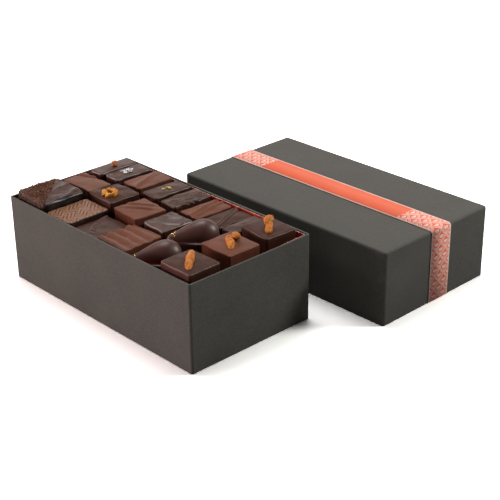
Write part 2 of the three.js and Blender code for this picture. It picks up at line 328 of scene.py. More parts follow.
chocolate_skin, given, made = new_effect(
    "chocolate_skin",
    [("Where", "Vector"), ("Deep", "Color"), ("Fair", "Color"), ("Bloom", "Color"), ("Dust", "Float")],
    [("Colour", "Color"), ("Roughness", "Float"), ("Height", "Float")],
)
tree = chocolate_skin
patches = speckle(tree, given["Where"], 9 * MM, 3)
smears = speckle(tree, given["Where"], 2.6 * MM, 4, 0.6)
grit = speckle(tree, given["Where"], 0.35 * MM, 2, 0.6)
body = blend_colours(tree, spread(tree, patches, 0.3, 0.7), given["Deep"], given["Fair"])
dusty = times(tree, spread(tree, smears, 0.42, 0.75), given["Dust"])
tree.links.new(blend_colours(tree, dusty, body, given["Bloom"]), made["Colour"])
dull = plus(tree, times(tree, smears, 0.7), times(tree, grit, 0.3))
tree.links.new(spread(tree, dull, 0.3, 0.7, 0.31, 0.44), made["Roughness"])
lumps = plus(tree, smears, times(tree, grit, 0.25))
tree.links.new(lumps, made["Height"])


def rounded_edge(tree, upward):
    """1 on the rounded upper edges, 0 on the tops and the flanks."""
    return times(tree, spread(tree, upward, 0.25, 0.5), spread(tree, upward, 0.8, 0.95, 1, 0))


def chocolate(name, deep, fair, bloom, shadow, flank_light_colour, flank_light_share, edge_highlight_colour, edge_highlight_and_coat, dust, lustre):
    """A coating. Its flanks are painted darker, a painted shade, and its rounded upper edges painted lighter,
    a painted highlight, where they also carry a little coat.

    The flanks that face the near long wall are painted lighter again, a painted light, towards a given
    colour."""
    finish, tree, shader, where = new_finish(name, lustre, Coat_Roughness=0.32)
    skin = place_effect(tree, chocolate_skin, Where=where, Deep=deep, Fair=fair, Bloom=bloom, Dust=dust)
    facing = way_it_faces(tree)
    # Painted shade: the flanks are darkened towards the shadow colour.
    flank = spread(tree, facing["Z"], 0.2, 0.7, 0.35, 0)
    lit_edge_or_worn_print = rounded_edge(tree, facing["Z"])
    coating = blend_colours(tree, flank, skin["Colour"], shadow)
    # Painted light: the flanks that face the near long wall are lightened.
    coating = blend_colours(tree, spread(tree, facing["Y"], -0.9, -0.6, flank_light_share, 0), coating, flank_light_colour)
    # Painted highlight: the rounded upper edges are lightened, and given a little coat.
    coating = blend_colours(tree, times(tree, lit_edge_or_worn_print, edge_highlight_and_coat), coating, edge_highlight_colour)
    tree.links.new(times(tree, lit_edge_or_worn_print, 0.3 * edge_highlight_and_coat), shader["Coat Weight"])
    dress(tree, shader, coating, skin["Roughness"], skin["Height"], 0.05 * MM, 0.4)
    return finish


DARK_DEEP = (0.046, 0.0154, 0.0095, 1)
DARK_FAIR = (0.062, 0.0212, 0.0130, 1)
BLOOM = (0.105, 0.055, 0.042, 1)
# Each coating: deep, fair and bloom colours, then a painted shade for the flanks, a painted light for the
# flanks that face the near long wall and its share, and a painted highlight for the rounded edges and its
# share.
DARK = (
    DARK_DEEP, DARK_FAIR, BLOOM, (0.030, 0.0095, 0.0060, 1),
    (0.090, 0.034, 0.026, 1), 0.85, (0.115, 0.070, 0.058, 1), 0.6,
)
MILK = (
    (0.130, 0.045, 0.0255, 1), (0.160, 0.0585, 0.034, 1), (0.24, 0.110, 0.072, 1), (0.060, 0.012, 0.006, 1),
    (0.085, 0.024, 0.013, 1), 0.4, (0.22, 0.105, 0.068, 1), 0.3,
)
dark_chocolate = chocolate("dark_chocolate", *DARK, 0.15, 0.13)
dark_satin = chocolate("dark_satin", *DARK, 0.3, 0.28)
dark_sheen = chocolate("dark_sheen", *DARK, 0.35, 0.48)
milk_chocolate = chocolate("milk_chocolate", *MILK, 0.15, 0.12)
milk_satin = chocolate("milk_satin", *MILK, 0.3, 0.18)


def ridge(u, centre, half_width):
    """A smooth ridge, 1 high at its centre."""
    t = min(1, abs(u - centre) / half_width)
    return 0.5 + 0.5 * math.cos(math.pi * t)


def step(value, low, high):
    t = min(1, max(0, (value - low) / (high - low)))
    return t * t * (3 - 2 * t)


def unsheared(x, v, half, slant):
    """Where a point lies across a top whose folds lean by slant at the ends."""
    lean = slant * v
    u = (x - lean) / (half - lean if x > lean else half + lean)
    return max(-1, min(1, u))


def cut_block(size, worked, slant, corner, edge, crown, wobble):
    """A block in millimetres on its own foot: rounded, swollen, worked on top and made a little uneven."""
    length, width, height = size
    bm = bmesh.new()
    bmesh.ops.create_cube(bm, size=2)
    for axis, extent in enumerate(size):
        along = edges_along(bm, axis, lambda middle: True)
        bmesh.ops.subdivide_edges(bm, edges=along, cuts=round(extent * MM / CELL) - 1, use_grid_fill=True)
    for vert in bm.verts:
        x, y, z = vert.co.x * length / 2, vert.co.y * width / 2, (vert.co.z + 1) / 2 * height
        nearest = Vector((
            max(-length / 2 + corner, min(length / 2 - corner, x)),
            max(-width / 2 + corner, min(width / 2 - corner, y)),
        ))
        out = Vector((x, y)) - nearest
        at_corner = out.length > corner - edge
        nearest = nearest + out.normalized() * (corner - edge) if at_corner else Vector((x, y))
        core = Vector((nearest.x, nearest.y, min(z, height - edge)))
        skin = Vector((x, y, z)) - core
        if skin.length > NEAR and (z > height - edge or at_corner):
            skin = skin.normalized() * edge
        point = core + skin
        v = 2 * point.y / width
        u = unsheared(point.x, v, length / 2, slant)
        flank = Vector((vert.co.x * (abs(vert.co.x) > 0.999), vert.co.y * (abs(vert.co.y) > 0.999), 0))
        foot = FOOT * (1 - step(z, 0, FOOT_HEIGHT))
        swell = crown * (1 - (2 * point.x / length) ** 2) * (1 - v * v) * (vert.co.z > 0.999)
        point += flank * foot
        point.z += step(z, 0.3 * height, height - 0.5) * (worked(u, v) if worked else 0) + swell
        drift = noise.noise_vector(point * DRIFT_SCALE + Vector((length, width, height)))
        ripple = noise.noise_vector(point * RIPPLE_SCALE + Vector((height, width, 0)))
        point += (drift * DRIFT + ripple * RIPPLE) * wobble * step(z, 0, 1)
        vert.co = point
    for face in bm.faces:
        face.smooth = True
    return bm


def settle(bm, at, base, turn):
    """Turns a shape in millimetres about its middle, and stands it at its place in the box, in metres."""
    place = Matrix.Translation((at[0] * MM, at[1] * MM, base)) @ Matrix.Rotation(math.radians(turn), 4, "Z")
    bmesh.ops.transform(bm, matrix=place @ Matrix.Scale(MM, 4), verts=bm.verts)


def inland(u, v):
    """1 over most of a top, falling to 0 at its edges."""
    return step(1 - max(abs(u), abs(v)), 0, 0.16)


def waves(u, v):
    """Pulled with a wavy comb, from end to end."""
    return (0.5 - 0.3 * u) * math.sin(4 * math.pi * (v + 1) + 0.25 * math.sin(3 * u))


def combed(u, v):
    """A crest that leans to the far left corner, and falls steeply on one side in a few short teeth."""
    across = u + 0.45 + 0.4 * v
    crest = ridge(across, 0, 0.36 if across < 0 else 0.24)
    teeth = step(across, 0, 0.06) * (1 - step(across, 0.22, 0.34)) * step(0.92 - abs(v), 0, 0.2)
    return 0.95 * crest + (0.2 - 0.1 * v) * teeth * math.cos(21.6 * v - 17.9 * u)


def folded(u, v):
    """Loose folds from the left corner to the right one, as in a draped cloth."""
    across, along = (v - u) / 2, (u + v) / 2
    bent = across + 0.16 * math.sin(3.2 * along + 0.6)
    small_folds = 0.32 * math.sin(15 * bent) + 0.2 * math.sin(28.5 * bent + 2)
    return inland(u, v) * (small_folds * step(across, -0.45, -0.1) + 0.8 * ridge(bent, -0.15, 0.12))


def grooved(u, v):
    """Two long grooves towards the right corner, each under a soft fold."""
    across, along = (v - u) / 2, (u + v) / 2
    line = across + 0.03 * math.sin(2.5 * along)
    folds = sum(0.75 * ridge(line, at + 0.13, 0.13) - 0.85 * ridge(line, at, 0.1) for at in (-0.06, 0.3))
    return folds * (1 - step(abs(along), 0.35, 0.85))


def corner_fold(u, v):
    """A crease that cuts off one corner."""
    across = v - 0.3 - 0.64 * (u + 1)
    return 0.7 * ridge(across, 0.22, 0.2) - ridge(across, 0, 0.18)


def ridged(u, v):
    """One sharp ridge, raised by a fork drawn askew."""
    return 1.2 * ridge(u, -0.02, 0.24) ** 1.6 - 0.4 * ridge(u, 0.24, 0.16)


def twice_ridged(u, v):
    """Two ridges with a shallow groove between them."""
    ridges = ridge(u, -0.3, 0.22) ** 1.4 + ridge(u, 0.28, 0.22) ** 1.4
    return 0.85 * ridges - 0.25 * ridge(u, 0.02, 0.14)


def creased(u, v):
    """One crease, pressed in askew."""
    return 0.5 * ridge(u, 0.1, 0.16) - 0.6 * ridge(u, -0.06, 0.11) + 0.2 * ridge(u, -0.3, 0.2)


def crinkled(u, v):
    """Fine crinkles along one side, left by a crumpled sheet."""
    bend = 0.5 * v + 0.2 * math.sin(3 * v)
    strong = step(u + 0.25 * v, -0.9, 0.5) * (1 - 0.75 * step(v, 0, 0.9))
    crinkles = 0.42 * math.sin(19 * (u - bend)) + 0.24 * math.sin(31 * (u - 0.7 * bend) + 1)
    return strong * crinkles + 0.12 * math.sin(6 * (u - bend))


def notched(u, v):
    """The nip of a small tool in the middle."""
    nip = ridge(u, 0, 0.22) * ridge(v, 0, 0.16)
    lips = ridge(u, 0.3, 0.14) * ridge(v, 0.02, 0.12) + ridge(u, -0.3, 0.14) * ridge(v, -0.02, 0.12)
    return 0.25 * lips - 0.6 * nip


def wrinkled_half(u, v):
    """Half of the slab is strewn with crumbs, and the other half was drawn up in wrinkles."""
    sag = -0.8 * step(u, 0.4, 1)
    if u + v < 0:
        return sag + 0.2 * noise.noise(Vector((9 * u, 9 * v, 0)))
    pull = noise.noise(Vector((1.6 * u, 1.6 * v, 5)))
    folds = 0.6 * math.sin(9.5 * u + 2 * v + 3.4 * pull) + 0.25 * noise.noise(Vector((5 * u, 3.4 * v, 2)))
    return sag + inland(u, v) * min(1, 4 * (u + v)) * folds


# Name, middle and size on the plan, top above or below the rim, turn, chocolate, working of the top and its
# slant, rounding of the corners and of the upper edge, all in millimetres and degrees.
SLAB_AT, SLAB_SIZE = (-71.1, -29.4), (31.2, 32.6)
PRALINES = [
    ("peel_square_near", (72.6, -33.1), (26.4, 24.2), 3.6, 0, "dark", None, 0, 1.5, 1),
    ("wave_square", (13, -30.7), (27, 29.4), -1.3, 0, "milk", waves, 0, 1, 0.6),
    ("combed_square", (-15.9, -31), (24.2, 29.2), -4.5, 0, "dark_satin", combed, -8, 1.4, 0.9),
    ("hatched_square", (-42.2, -29.3), (25.2, 32.2), -1.8, 0, "hatched", None, 0, 3, 0.4),
    ("crumb_slab", SLAB_AT, SLAB_SIZE, 4, 0, "slab", wrinkled_half, 0, 3.4, 1.8),
    ("peel_square_middle", (71.3, -0.1), (26, 24), 3.6, -1, "milk", None, 0, 0.9, 0.5),
    ("folded_square", (14, -0.7), (21, 24), 0, -2, "dark_sheen", folded, 0, 1.7, 1.2),
    ("grooved_square", (-12, -2.1), (25, 23.8), 0.9, -5, "milk", grooved, 0, 0.9, 0.5),
    ("ginger_square", (-42.4, 1.1), (24.2, 24.2), 1.8, -1.5, "dark", None, 0, 1.6, 1.1),
    ("grooved_bar", (-71.8, 0.8), (29, 18.4), 0.9, 0, "milk_satin", corner_fold, 0, 1, 0.6),
    ("peel_square_far", (71.4, 31.5), (25.4, 23.6), 4, -5, "dark", None, 0, 1.5, 1),
    ("notched_bar", (50.1, 31.3), (12, 28.2), -0.9, 0, "dark_satin", notched, 0, 1.2, 0.7),
    ("ridged_bar_dark", (33.8, 30.9), (17.2, 28.8), -1.3, 0, "dark", ridged, -6.5, 1.2, 0.7),
    ("ridged_bar_milk", (15.4, 29.9), (16.6, 29.8), -0.7, -2, "milk", twice_ridged, -5, 1, 0.6),
    ("crinkled_bar", (-5.3, 30.4), (16.6, 30), 0.5, -1.5, "dark_satin", crinkled, 0, 1.6, 1.2),
    ("pistachio_bar", (-24.6, 30.6), (15.4, 30), 0.9, -1, "dark_satin", None, 0, 1.6, 1.2),
    ("creased_bar", (-45.1, 31.6), (17.6, 28.2), 1.3, 0, "milk_satin", creased, -6.5, 1, 0.6),
    ("salt_bar", (-65.6, 31), (14.2, 29.2), 1.5, -1, "dark_sheen", None, 0, 1.6, 1.1),
    ("nut_bar", (-80.2, 30), (12.4, 31.4), 1.8, 0, "dark_sheen", None, 0, 1.6, 1.1),
]

# The hatched square is dark, and its top carries a fair cocoa-butter print of zigzags from a transfer sheet.
finish, tree, shader, where = new_finish("hatched_chocolate", 0.35)
skin = place_effect(tree, chocolate_skin, Where=where, Deep=DARK_DEEP, Fair=DARK_FAIR, Bloom=BLOOM, Dust=0.3)
spot = put(tree, "SeparateXYZ", Vector=where).outputs
ZIG, PITCH = 5.2 * MM, 3.1 * MM
LINE_CORE, LINE_EDGE = 0.38 * MM, 0.64 * MM
BLOCK = 11 * MM


def zigzag(tree, along, across, zig, pitch):
    """Thin parallel zigzag lines: 1 on a line, 0 between."""
    tooth = reckon(tree, "PINGPONG", along, zig)
    phase = plus(tree, across, tooth)
    return spread(tree, reckon(tree, "PINGPONG", phase, pitch / 2), LINE_CORE, LINE_EDGE, 1, 0)


diagonal = reckon(tree, "PINGPONG", plus(tree, spot["X"], spot["Y"]), BLOCK)
block = reckon(tree, "GREATER_THAN", diagonal, BLOCK / 2)
lines_one = zigzag(tree, spot["X"], spot["Y"], ZIG, PITCH)
lines_two = zigzag(tree, spot["Y"], spot["X"], ZIG, PITCH)
lines = plus(tree, times(tree, lines_one, block), times(tree, lines_two, reckon(tree, "SUBTRACT", 1, block)))
lit_edge_or_worn_print = times(tree, lines, spread(tree, speckle(tree, where, 1.4 * MM, 3), 0.25, 0.5, 0.85, 1))
butter = speckle(tree, where, 3 * MM, 3)
fair = blend_colours(tree, butter, (0.235, 0.105, 0.056, 1), (0.33, 0.155, 0.087, 1))
printed = blend_colours(tree, lit_edge_or_worn_print, fair, (0.045, 0.016, 0.010, 1))
on_top = spread(tree, way_it_faces(tree)["Z"], 0.75, 0.92)
# Painted shade: the flanks are the skin darkened towards near black.
flank = blend_colours(tree, 0.55, skin["Colour"], (0.008, 0.004, 0.003, 1))
relief = reckon(tree, "SUBTRACT", skin["Height"], lit_edge_or_worn_print)
dress(tree, shader, blend_colours(tree, on_top, flank, printed), skin["Roughness"], relief, 0.1 * MM, 0.6)
hatched_chocolate = finish

# The slab's strewn half is browner under its crumbs than the drawn half. Its flanks carry a painted shade,
# near black on the flank that faces +X, and the meal is painted darker where it turns steep.
finish, tree, shader, where = new_finish("slab_chocolate", 0.4, Coat_Roughness=0.3)
skin = place_effect(tree, chocolate_skin, Where=where, Deep=DARK_DEEP, Fair=DARK_FAIR, Bloom=BLOOM, Dust=0.45)
spot = put(tree, "SeparateXYZ", Vector=where).outputs
half_x, half_y = SLAB_SIZE[0] / 2, SLAB_SIZE[1] / 2
side = plus(tree, times(tree, spot["X"], 1 / half_x), times(tree, spot["Y"], 1 / half_y))
border = (SLAB_AT[0] / half_x + SLAB_AT[1] / half_y) * MM
strewn = times(
    tree, spread(tree, side, border - 0.25 * MM, border + 0.05 * MM, 1, 0),
    spread(tree, spot["Z"], RIM - 3 * MM, RIM + 1 * MM),
)
meal_height = speckle(tree, where, 0.9 * MM, 3, 0.7)
meal = blend_colours(tree, meal_height, (0.045, 0.017, 0.010, 1), (0.115, 0.045, 0.024, 1))
facing = way_it_faces(tree)
steep = spread(tree, facing["Z"], 0.2, 0.75, 0.85, 0)
low = blend_colours(tree, steep, skin["Colour"], (0.024, 0.0085, 0.0060, 1))
flank = blend_colours(tree, spread(tree, facing["X"], 0.3, 0.8), low, (0.006, 0.004, 0.0035, 1))
shaded_meal = blend_colours(tree, spread(tree, facing["Z"], 0.3, 0.85, 0.8, 0), meal, (0.020, 0.0075, 0.0050, 1))
dull = reckon(tree, "MAXIMUM", skin["Roughness"], times(tree, strewn, 0.75))
relief = plus(tree, skin["Height"], times(tree, strewn, meal_height))
dress(tree, shader, blend_colours(tree, strewn, flank, shaded_meal), dull, relief, 0.12 * MM, 0.5)
tree.links.new(times(tree, rounded_edge(tree, facing["Z"]), 0.25), shader["Coat Weight"])
slab_chocolate = finish

COATINGS = {
    "dark": (dark_chocolate, "dark_chocolate"),
    "dark_satin": (dark_satin, "dark_chocolate"),
    "dark_sheen": (dark_sheen, "dark_chocolate"),
    "milk": (milk_chocolate, "milk_chocolate"),
    "milk_satin": (milk_satin, "milk_chocolate"),
    "hatched": (hatched_chocolate, "patterned_chocolate"),
    "slab": (slab_chocolate, "dark_chocolate"),
}
CROWN = 0.35
WOBBLE_DIPPED, WOBBLE_CUT = 1.4, 0.9
tops = {}
for name, at, plan, top, turn, coating, worked, slant, corner, edge in PRALINES:
    height = (RIM + top * MM - SHELF) / MM
    wobble = WOBBLE_DIPPED if edge > 1 else WOBBLE_CUT
    bm = cut_block((*plan, height), worked, slant, corner, edge, CROWN, wobble)
    settle(bm, at, SHELF, turn)
    tops[name] = BVHTree.FromBMesh(bm)
    finish, slot = COATINGS[coating]
    set_down("praline_" + name, bm, finish, name)

# ---- The cocoa beans
# Two beans of dark chocolate, cast in a polished mould: a swelling back on a lip that runs all round.
# They are glossier than the dipped pieces, and stand askew between the squares and the bars.
BEAN_LENGTH, BULB, TAIL, RISE, LIP, TAIL_LIP, BEAN_LEAN = 33, 9.2, 4, 12.2, 2, 0.5, -30


def fuse(piece, voxel, smoothing):
    """Melts the shells of a piece into one closed skin of small even faces, and smooths it."""
    remesh = piece.modifiers.new("melt", "REMESH")
    remesh.mode = "VOXEL"
    remesh.voxel_size = voxel
    remesh.use_smooth_shade = True
    graph = bpy.context.evaluated_depsgraph_get()
    melted = bpy.data.meshes.new_from_object(piece.evaluated_get(graph))
    piece.modifiers.clear()
    piece.data = melted
    bm = bmesh.new()
    bm.from_mesh(melted)
    for _ in range(smoothing):
        bmesh.ops.smooth_vert(
            bm, verts=bm.verts, factor=0.5, use_axis_x=True, use_axis_y=True, use_axis_z=True,
        )
    bmesh.ops.recalc_face_normals(bm, faces=bm.faces)
    for face in bm.faces:
        face.smooth = True
    bm.to_mesh(melted)
    bm.free()


def breadth(t):
    """Half the width of a bean at t, from its tail at -1 to its bulb at 1."""
    return TAIL + (BULB - TAIL) * step(t, -0.95, 0.5)


def blunt(t):
    """Closes both ends of a bean in a blunt curve."""
    return (1 - min(1, abs(t)) ** 3) ** (1 / 3)


def cast_bean(stand):
    """A bean in millimetres, with its lip stand millimetres above its foot."""
    half = BEAN_LENGTH / 2
    bm = bmesh.new()
    back = bmesh.ops.create_uvsphere(bm, u_segments=72, v_segments=40, radius=1)["verts"]
    for vert in back:
        t = vert.co.z
        around = math.hypot(vert.co.x, vert.co.y) or 1
        wide = breadth(t) * blunt(t) / around
        rise = vert.co.y * wide * (RISE if vert.co.y > 0 else 1) / BULB
        vert.co = Vector((vert.co.x * wide, t * half, stand + rise))
    lip = bmesh.ops.create_circle(bm, cap_ends=True, segments=72, radius=1)["verts"]
    for vert in lip:
        t = vert.co.y
        ledge = TAIL_LIP + (LIP - TAIL_LIP) * step(t, -0.95, 0.5)
        side = math.copysign(1, vert.co.x) if abs(vert.co.x) > 1e-4 else 0
        vert.co = Vector((side * (breadth(t) + ledge) * blunt(t), t * (half + ledge / 2), 0))
    foot = [face for face in bm.faces if all(v in lip for v in face.verts)]
    raised = bmesh.ops.extrude_face_region(bm, geom=foot, use_keep_orig=True)["geom"]
    bmesh.ops.translate(bm, vec=(0, 0, stand), verts=[g for g in raised if isinstance(g, bmesh.types.BMVert)])
    bmesh.ops.recalc_face_normals(bm, faces=bm.faces)
    return bm


finish, tree, shader, where = new_finish("cast_chocolate", Coat_Weight=0.05, Coat_Roughness=0.4)
skin = place_effect(
    tree, chocolate_skin, Where=where, Deep=(0.062, 0.0210, 0.0155, 1), Fair=(0.080, 0.0280, 0.0205, 1),
    Bloom=BLOOM, Dust=0.1,
)
polish = spread(tree, skin["Roughness"], 0.31, 0.44, 0.38, 0.46)
dress(tree, shader, skin["Colour"], polish, skin["Height"], 0.05 * MM, 0.4)
cast_chocolate = finish

BEANS = [("bean_near", (37.4, -30.6), -8.2), ("bean_middle", (38.6, -1.4), -3.4)]
for name, at, lip_top in BEANS:
    bm = cast_bean((RIM + lip_top * MM - SHELF) / MM)
    settle(bm, at, SHELF, BEAN_LEAN)
    tops[name] = BVHTree.FromBMesh(bm)
    piece = set_down("cast_" + name, bm, cast_chocolate, name)
    fuse(piece, 0.45 * MM, 3)

# ---- The candied peel and ginger
# Strips of candied orange peel lie on three squares, and a knot of candied ginger on a fourth. They are
# glazed with sugar, wrinkled and a little clear, and stick to the coating.
candied_flesh, given, made = new_effect(
    "candied_flesh",
    [("Where", "Vector"), ("Deep", "Color"), ("Fair", "Color"), ("Grain", "Float")],
    [("Colour", "Color"), ("Roughness", "Float"), ("Height", "Float")],
)
tree = candied_flesh
flesh = speckle(tree, given["Where"], 2.2 * MM, 4, 0.6)
pits = put(tree, "TexVoronoi", Vector=given["Where"], Scale=1 / (0.8 * MM)).outputs["Distance"]
warm = blend_colours(tree, spread(tree, flesh, 0.32, 0.66), given["Deep"], given["Fair"])
pit_mask = times(tree, spread(tree, pits, 0.1, 0.4, 1, 0), given["Grain"])
pitted = blend_colours(tree, pit_mask, warm, given["Deep"])
tree.links.new(pitted, made["Colour"])
tree.links.new(spread(tree, flesh, 0.3, 0.7, 0.3, 0.55), made["Roughness"])
tree.links.new(plus(tree, flesh, times(tree, pits, 0.2)), made["Height"])


def candied(name, deep, fair, grain):
    finish, tree, shader, where = new_finish(
        name, 0.25, Subsurface_Weight=0.15, Subsurface_Scale=1.0 * MM, Subsurface_Radius=(1, 0.6, 0.3),
    )
    flesh = place_effect(tree, candied_flesh, Where=where, Deep=deep, Fair=fair, Grain=grain)
    dress(tree, shader, flesh["Colour"], flesh["Roughness"], flesh["Height"], 0.18 * MM, 0.6)
    return finish


orange_peel = candied("orange_peel", (0.30, 0.080, 0.006, 1), (0.60, 0.205, 0.018, 1), 0.1)
amber_ginger = candied("amber_ginger", (0.38, 0.115, 0.008, 1), (0.74, 0.33, 0.045, 1), 0.3)

# Name, place, finish, slot, depth of the wrinkles and lumps. Each lump: length, width and height, its middle,
# its turn about the upright axis and its lean, in the topping's own frame, whose x points at the near corner
# of the square. The lumps are melted into one.
TOPPINGS = [
    ("peel_near", (72.6, -33.1), orange_peel, "candied_peel", 0.42, [
        ((14, 4.8, 5.8), (-5.8, 0.2, 0.1), -3, -4), ((13, 5.4, 6.4), (-1.6, 0, 0), 3, 0),
        ((15, 4.9, 5.6), (4.6, -0.3, 0), 2, 5),
    ]),
    ("peel_middle", (71.3, -0.1), orange_peel, "candied_peel", 0.42, [
        ((13, 5.0, 5.0), (-0.8, -0.2, 0.1), 6, 0), ((13, 4.8, 5.2), (2.4, 0.6, 0), 0, 6),
        ((7, 5.2, 4.6), (-5, 3.3, 2.3), 30, 0), ((7, 3.6, 3.6), (-4.8, -1.4, 0.8), -14, 0),
    ]),
    ("peel_far", (71.4, 31.5), orange_peel, "candied_peel", 0.42, [
        ((8, 5, 5.4), (-1.4, 0.5, 0.2), 8, 0), ((10, 5, 5.6), (4.6, 0.3, 0), -4, 6),
        ((8.4, 6.4, 4.6), (-4.9, 0.2, 2.9), -20, 0), ((5, 4.4, 3.4), (-1.6, -0.6, 2.2), 10, 20),
    ]),
    ("ginger_cluster", (-42.4, 1.1), amber_ginger, "candied_ginger", 0.6, [
        ((5.2, 3.2, 4.2), (1.2, -6.6, 0.2), 15, 0), ((3.6, 2.8, 3.4), (4.4, -6.4, 0.1), -30, 0),
        ((4.6, 2.8, 4.6), (-0.7, -3.4, 0.5), 80, 12), ((4.4, 3, 5), (0.4, -0.4, 0.6), 35, -10),
        ((5.6, 3.4, 5.2), (3.2, 1.2, 0.7), -12, 8), ((3.6, 3.2, 4.6), (5.8, 0.4, 0.5), 40, 0),
        ((4.2, 2.6, 4), (6.6, -2.4, 0.2), 75, 0), ((4, 2.6, 3.4), (5.2, -4, 0.1), 10, 0),
        ((2.8, 2.2, 3), (3, -5.2, 1.2), 60, 20), ((2.4, 2, 2.6), (7.8, -4.2, 0), 0, 0),
    ]),
]
FLAT_FOOT = -0.4
TOWARDS_NEAR_CORNER = -45
ACROSS_FIBRE, ALONG_FIBRE, UP_FIBRE, DENTS = 0.75, 0.22, 0.6, 0.45
for name, at, finish, slot, wrinkle, lumps in TOPPINGS:
    bm = bmesh.new()
    for size, middle, turn, lean in lumps:
        shape = Matrix.Translation(middle) @ Matrix.Rotation(math.radians(turn), 4, "Z")
        shape = shape @ Matrix.Rotation(math.radians(lean), 4, "Y")
        shape = shape @ Matrix.Diagonal((*(s / 2 for s in size), 1))
        bmesh.ops.create_icosphere(bm, subdivisions=4, radius=1, matrix=shape)
    bmesh.ops.bisect_plane(
        bm, geom=bm.verts[:] + bm.edges[:] + bm.faces[:],
        plane_co=(0, 0, FLAT_FOOT), plane_no=(0, 0, -1), clear_outer=True,
    )
    bmesh.ops.holes_fill(bm, edges=[edge for edge in bm.edges if edge.is_boundary])
    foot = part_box(name)[0].z
    settle(bm, at, foot, TOWARDS_NEAR_CORNER)
    piece = set_down("candied_" + name, bm, finish, name)
    fuse(piece, 0.3 * MM, 2)
    for vert in piece.data.vertices:
        p = vert.co / MM
        fibre = Vector(((p.x - p.y) * ALONG_FIBRE, (p.x + p.y) * ACROSS_FIBRE, p.z * UP_FIBRE))
        creases = abs(noise.noise(fibre * 1.4 + Vector((9, 4, 1))))
        crumple = 0.4 * noise.noise(p * DENTS) + 0.45 * noise.noise(fibre) - 0.3 * creases
        if vert.co.z > foot + 0.3 * MM:
            vert.co += vert.normal * crumple * MM * wrinkle

# ---- The small toppings
# A roasted almond nib, pistachio chips, salt flakes and flecks of gold leaf were set on the soft coating,
# and the corner slab was strewn with cocoa crumbs over half of its top.
RAY_START = 0.2
DEEPEST = SHELF + 4 * MM
random.seed(7)


def surface(name, x, y):
    """The point and the normal of a praline's upper surface over a place given in millimetres."""
    point, normal, _, _ = tops[name].ray_cast(Vector((x * MM, y * MM, RAY_START)), Vector((0, 0, -1)))
    return (point, normal) if point and point.z > DEEPEST else (None, None)


def chip(bm, point, normal, size, subdivisions=1, sunk=0.2, roughness=0.25):
    """A small angular crumb of a size in millimetres, pressed into the surface at a point."""
    tilt = normal.to_track_quat("Z", "Y").to_matrix().to_4x4()
    spin = Matrix.Rotation(random.uniform(0, math.tau), 4, "Z")
    half = [s * MM / 2 for s in size]
    place = Matrix.Translation(point + normal * half[2] * (1 - sunk)) @ tilt @ spin
    place = place @ Matrix.Diagonal((*half, 1))
    made = bmesh.ops.create_icosphere(bm, subdivisions=subdivisions, radius=1, matrix=place)["verts"]
    for vert in made:
        vert.co += Vector([random.uniform(-1, 1) * roughness * min(half) for _ in range(3)])


# The almond nib.
bm = bmesh.new()
point, normal = surface("nut_bar", -79.6, 30.2)
chip(bm, point, Vector((0.1, -0.15, 1)).normalized(), (4.8, 4.4, 3.8), 3, 0.2, 0)
for vert in bm.verts:
    dent = noise.noise(vert.co / MM * 0.55) + 0.4 * noise.noise(vert.co / MM * 1.3)
    vert.co += (vert.co - point).normalized() * dent * 0.8 * MM
for face in bm.faces:
    face.smooth = True
finish, tree, shader, where = new_finish("roasted_almond", 0.3)
skin = speckle(tree, where, 1.1 * MM, 4, 0.6)
toasted = blend_colours(tree, spread(tree, skin, 0.3, 0.7), (0.30, 0.085, 0.030, 1), (0.56, 0.22, 0.09, 1))
dress(tree, shader, toasted, spread(tree, skin, 0.3, 0.7, 0.5, 0.75), skin, 0.2 * MM, 0.7)
set_down("almond_nib", bm, finish)

# The pistachio chips, in two little heaps with one chip between them: each heap's place, count and reach.
bm = bmesh.new()
HEAPS = [(-24.8, 28.0, 3, 0.7), (-24.4, 32.6, 7, 1.3), (-25.4, 30.2, 1, 0.2)]
for x, y, count, reach in HEAPS:
    for _ in range(count):
        dx, dy = random.uniform(-1, 1) * reach, random.uniform(-1, 1) * reach
        point, normal = surface("pistachio_bar", x + dx, y + dy)
        size = random.uniform(0.9, 2.0)
        chip(bm, point, normal, (size, size * 0.6, size * 0.6), 2, 0.2, 0.14)
finish, tree, shader, where = new_finish(
    "pistachio", 0.35, Subsurface_Weight=0.2, Subsurface_Scale=0.4 * MM,
)
meat = speckle(tree, where, 0.7 * MM, 3, 0.6)
green = blend_colours(tree, spread(tree, meat, 0.35, 0.65), (0.42, 0.38, 0.08, 1), (0.82, 0.76, 0.34, 1))
dress(tree, shader, green, spread(tree, meat, 0.3, 0.7, 0.45, 0.7), meat, 0.1 * MM, 0.6)
set_down("pistachio_chips", bm, finish)

# The salt flakes: thin plates that lie across one another.
SALT_X, SALT_Y, SALT_REACH, FLAKES = -65.6, 30.4, 4, 20
FLAKE_WIDTH, FLAKE_THICKNESS = 0.66, 0.36
bm = bmesh.new()
for _ in range(FLAKES):
    away = SALT_REACH * random.random() ** 0.8
    angle = random.uniform(0, math.tau)
    x, y = SALT_X + 0.8 * away * math.cos(angle), SALT_Y + away * math.sin(angle)
    point, normal = surface("salt_bar", x, y)
    lean = (normal + Vector([random.uniform(-0.45, 0.45) for _ in range(3)])).normalized()
    long = random.uniform(1.6, 3.4)
    place = Matrix.Translation(point + Vector((0, 0, 0.25 + 0.25 * random.random())) * MM)
    place = place @ lean.to_track_quat("Z", "Y").to_matrix().to_4x4()
    place = place @ Matrix.Rotation(random.uniform(0, math.tau), 4, "Z")
    place = place @ Matrix.Diagonal((long * MM, FLAKE_WIDTH * MM, FLAKE_THICKNESS * MM, 1))
    flake = bmesh.ops.create_cube(bm, size=1, matrix=place)["verts"]
    sides = list({edge for vert in flake for edge in vert.link_edges})
    soften(bm, sides, 0.08 * MM, 1)
finish, tree, shader, where = new_finish("sea_salt", 0.3)
frost = speckle(tree, where, 0.5 * MM, 3, 0.6)
